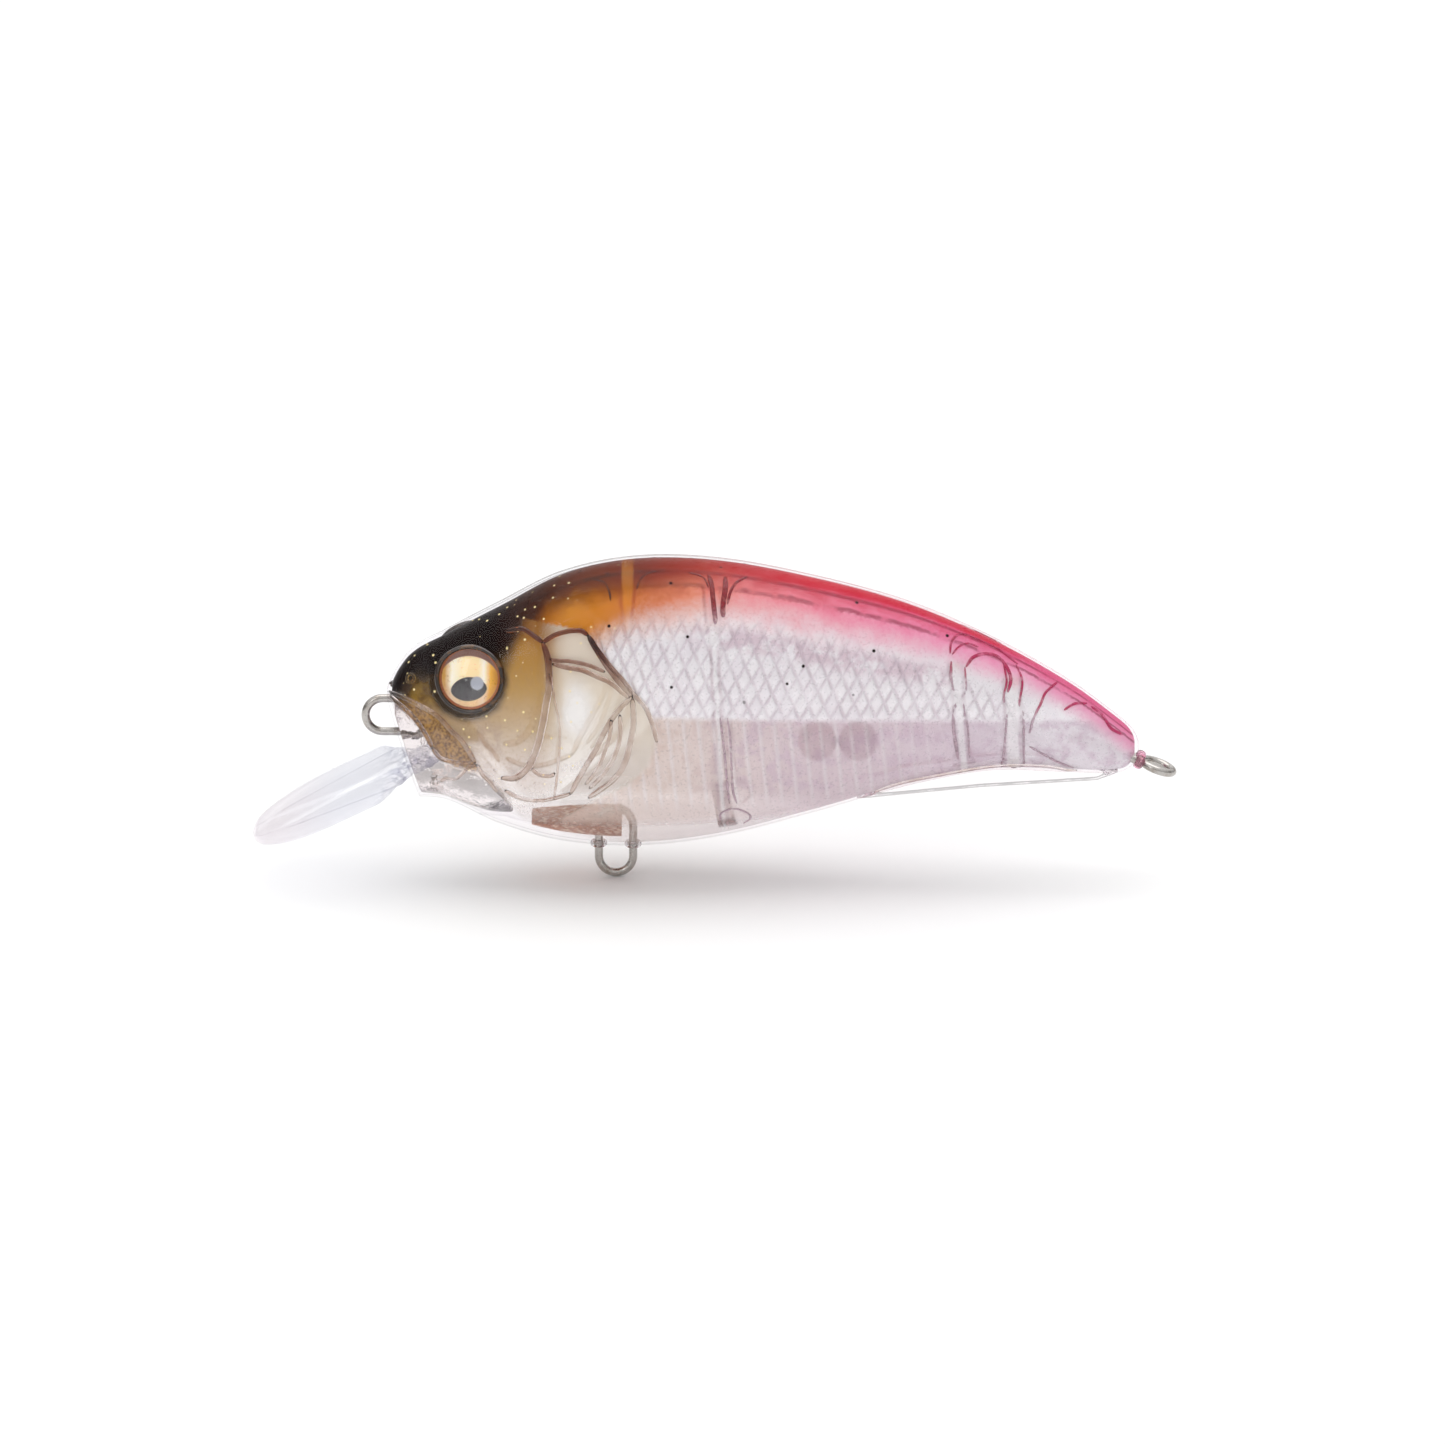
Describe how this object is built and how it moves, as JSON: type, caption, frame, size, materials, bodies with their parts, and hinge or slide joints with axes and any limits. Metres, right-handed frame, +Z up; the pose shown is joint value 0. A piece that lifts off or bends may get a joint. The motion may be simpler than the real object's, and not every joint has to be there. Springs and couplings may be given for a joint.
{
  "type": "crankbait lure",
  "caption": "Hollow clear-bodied diving crankbait with a rounded lip, wire line tie, belly and tail hook hangers, and rolling balancer balls inside.",
  "frame": {"origin": "centre of the line-tie eye, on the body's mid-plane", "axes": "+X from the head to the tail, +Z up, +Y towards the fish's right side, so the fish's left side faces -Y"},
  "size_m": [0.0884, 0.019, 0.0317],
  "materials": {
    "body_shell": "clear glossy plastic with a translucent painted back and pearl flanks",
    "clear_lip": "clear polished plastic",
    "stainless_wire": "drawn stainless wire",
    "eye_foil": "gold foil print",
    "eye_lens": "clear domed resin",
    "ballast_brass": "dull copper-coloured cast weight",
    "ball_brass": "plain brass ball"
  },
  "bodies": {
    "hull": {"body_left_half": "body_shell", "body_right_half": "body_shell", "diving_lip": "clear_lip", "line_tie": "stainless_wire", "belly_hanger": "stainless_wire", "tail_hanger": "stainless_wire", "eye_foil_left": "eye_foil", "eye_foil_right": "eye_foil", "eye_lens_left": "eye_lens", "eye_lens_right": "eye_lens", "belly_ballast": "ballast_brass"},
    "front_ball": {"balancer_ball_front": "ball_brass"},
    "rear_ball": {"balancer_ball_rear": "ball_brass"}
  },
  "joints": [
    {"name": "front_ball_roll", "type": "slide", "parent": "hull", "child": "front_ball", "axis": [1, 0, 0], "range_m": [-0.0067, 0.0067]},
    {"name": "rear_ball_roll", "type": "slide", "parent": "hull", "child": "rear_ball", "axis": [1, 0, 0], "range_m": [-0.0067, 0.0067]}
  ],
  "couplings": [
    {"joint": "rear_ball_roll", "follows": "front_ball_roll", "ratio": 1}
  ]
}
